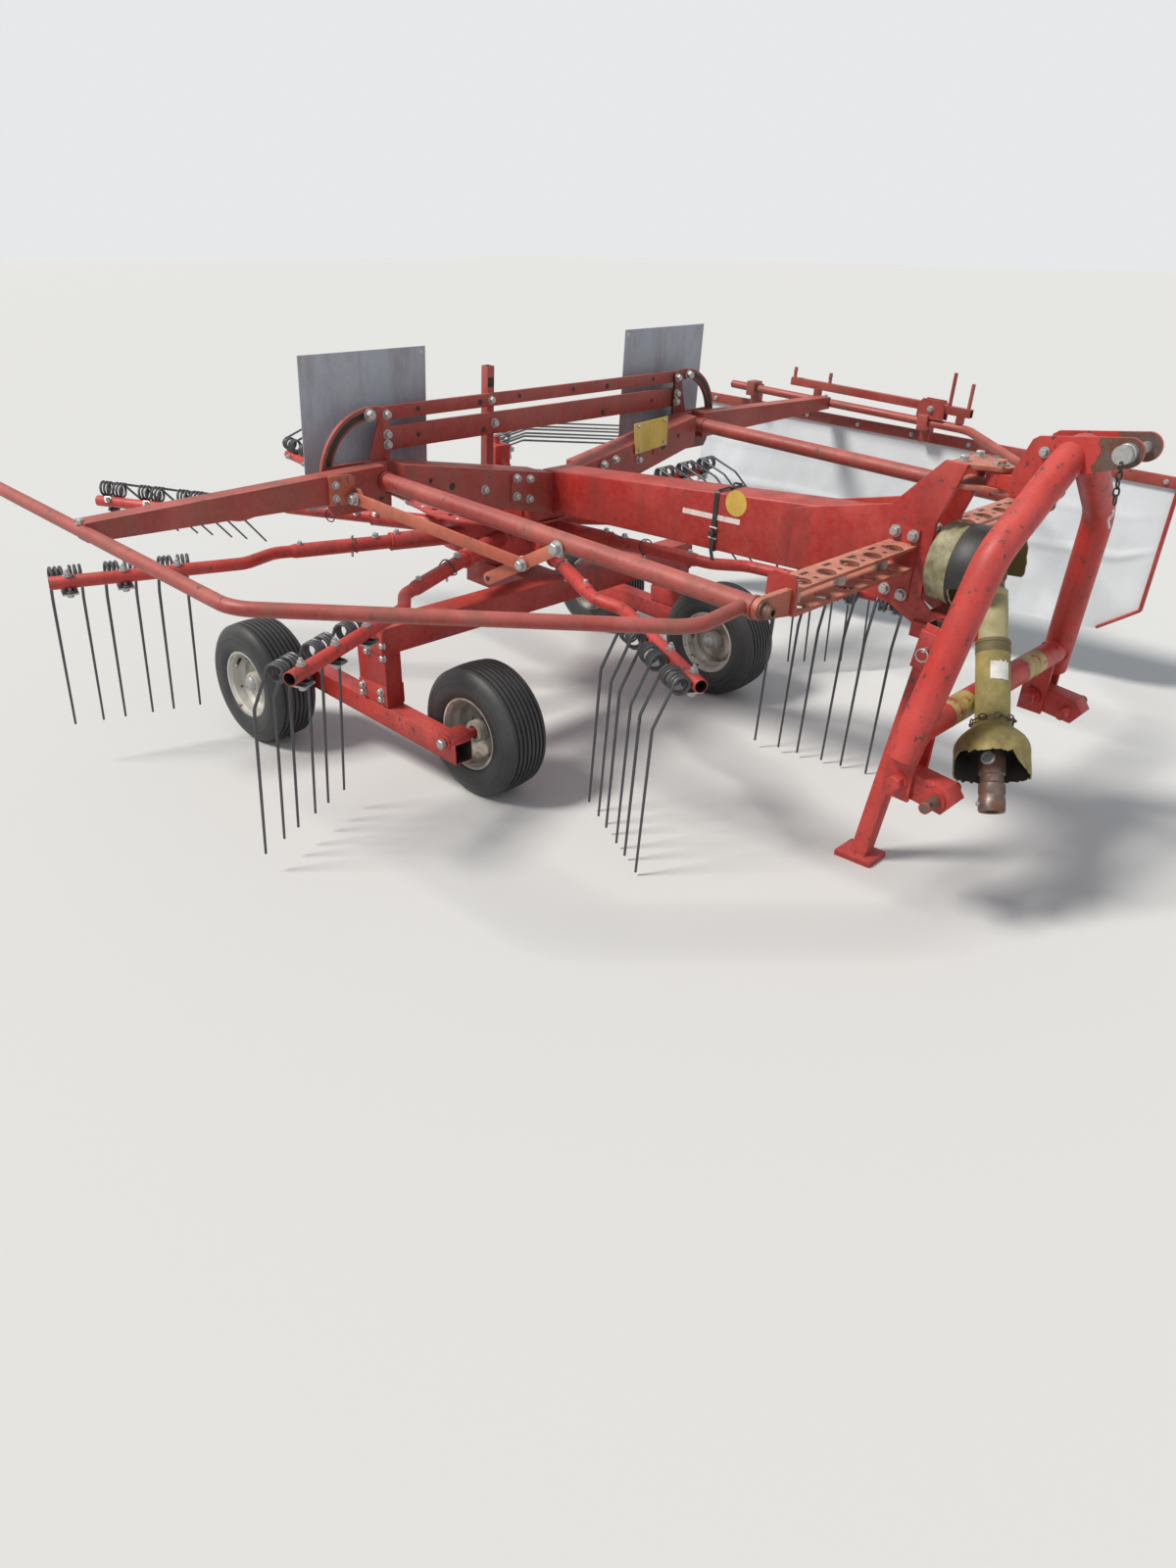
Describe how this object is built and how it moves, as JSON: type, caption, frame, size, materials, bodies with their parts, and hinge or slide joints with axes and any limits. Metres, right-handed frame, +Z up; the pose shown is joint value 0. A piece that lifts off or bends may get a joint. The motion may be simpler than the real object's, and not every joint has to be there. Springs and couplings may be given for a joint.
{
  "type": "rotary hay rake",
  "caption": "Mounted single rotor hay rake: crop raking tine arms under a box beam, swinging three point headstock, bogie wheels, folding guards and swath curtain.",
  "frame": {"origin": "on the ground under the middle of the parked machine's bounding box", "axes": "+X forward to the tractor, +Y to the machine's left, +Z up"},
  "size_m": [3.5582, 3.1853, 1.2484],
  "materials": {
    "red_paint": "sun faded red paint, chipped",
    "zinc_steel": "dull zinc plate",
    "bare_steel": "worn steel",
    "spring_steel": "black spring steel",
    "black_rubber": "dusty ribbed rubber",
    "cream_paint": "dirty cream paint",
    "grey_paint": "grey blue paint, weathered",
    "yellow_plastic": "dirty yellow plastic",
    "white_cloth": "coated white cloth, wrinkled"
  },
  "bodies": {
    "frame": {"arm_rack_left": "red_paint", "arm_rack_right": "red_paint", "axle_beam": "red_paint", "beam_head": "red_paint", "cross_member": "red_paint", "drive_cup": "yellow_plastic", "gearbox": "red_paint", "height_screw": "red_paint", "input_shaft": "bare_steel", "leg_socket": "red_paint", "link_bars": "red_paint", "lower_fork": "red_paint", "main_beam": "red_paint", "sector_left": "red_paint", "sector_right": "red_paint", "sign_plate_left": "grey_paint", "sign_plate_right": "grey_paint", "upper_fork": "red_paint", "walking_beam_left": "red_paint", "walking_beam_right": "red_paint"},
    "headstock": {"headstock": "red_paint", "top_link_pin": "zinc_steel", "lower_hitch_left": "red_paint", "lower_hitch_right": "red_paint"},
    "drive_shaft": {"drive_shaft_guard": "yellow_plastic", "drive_yoke": "bare_steel"},
    "rotor": {"rotor_hub": "red_paint", "tine_arm_1": "red_paint", "tine_arm_2": "red_paint", "tine_arm_3": "red_paint", "tine_arm_4": "red_paint", "tine_arm_5": "red_paint", "tine_arm_6": "red_paint", "tine_arm_7": "red_paint", "tine_arm_8": "red_paint", "tine_arm_9": "red_paint", "tines_1": "spring_steel", "tines_2": "spring_steel", "tines_3": "spring_steel", "tines_4": "spring_steel", "tines_5": "spring_steel", "tines_6": "spring_steel", "tines_7": "spring_steel", "tines_8": "spring_steel", "tines_9": "spring_steel"},
    "guard_left": {"guard_left": "red_paint", "storage_bar": "red_paint", "curtain_rail": "red_paint", "curtain": "white_cloth"},
    "guard_right": {"guard_right": "red_paint"},
    "leg": {"parking_leg": "red_paint"},
    "wheel_front_left": {"tyre_front_left": "black_rubber", "rim_front_left": "cream_paint"},
    "wheel_front_right": {"tyre_front_right": "black_rubber", "rim_front_right": "cream_paint"},
    "wheel_rear_left": {"tyre_rear_left": "black_rubber", "rim_rear_left": "cream_paint"},
    "wheel_rear_right": {"tyre_rear_right": "black_rubber", "rim_rear_right": "cream_paint"}
  },
  "joints": [
    {"name": "headstock_swing", "type": "hinge", "parent": "frame", "child": "headstock", "pos_m": [1.40746, -0.021, 0.65665], "axis": [0.0663, 0, 0.9978], "range_deg": [-15, 15]},
    {"name": "drive_shaft_lift", "type": "hinge", "parent": "headstock", "child": "drive_shaft", "pos_m": [1.4627, -0.021, 0.80932], "axis": [0, -1, 0], "range_deg": [0, 60]},
    {"name": "rotor_turn", "type": "hinge", "parent": "frame", "child": "rotor", "pos_m": [-0.34312, -0.021, 0.63061], "axis": [0.0663, 0, 0.9978], "continuous": true},
    {"name": "guard_left_fold", "type": "hinge", "parent": "frame", "child": "guard_left", "pos_m": [0.57572, 0.691, 0.88427], "axis": [0.9978, 0, -0.0663], "range_deg": [0, 95]},
    {"name": "guard_right_fold", "type": "hinge", "parent": "frame", "child": "guard_right", "pos_m": [0.57572, -0.733, 0.88427], "axis": [-0.9978, 0, 0.0663], "range_deg": [0, 95]},
    {"name": "leg_slide", "type": "slide", "parent": "frame", "child": "leg", "axis": [0.1805, 0, 0.9836], "range_m": [0, 0.3]},
    {"name": "wheel_front_left_roll", "type": "hinge", "parent": "frame", "child": "wheel_front_left", "pos_m": [0.228, 0.555, 0.203], "axis": [0, 1, 0], "continuous": true},
    {"name": "wheel_front_right_roll", "type": "hinge", "parent": "frame", "child": "wheel_front_right", "pos_m": [0.228, -0.597, 0.203], "axis": [0, 1, 0], "continuous": true},
    {"name": "wheel_rear_left_roll", "type": "hinge", "parent": "frame", "child": "wheel_rear_left", "pos_m": [-0.598, 0.802, 0.203], "axis": [0, 1, 0], "continuous": true},
    {"name": "wheel_rear_right_roll", "type": "hinge", "parent": "frame", "child": "wheel_rear_right", "pos_m": [-0.598, -0.844, 0.203], "axis": [0, 1, 0], "continuous": true}
  ]
}
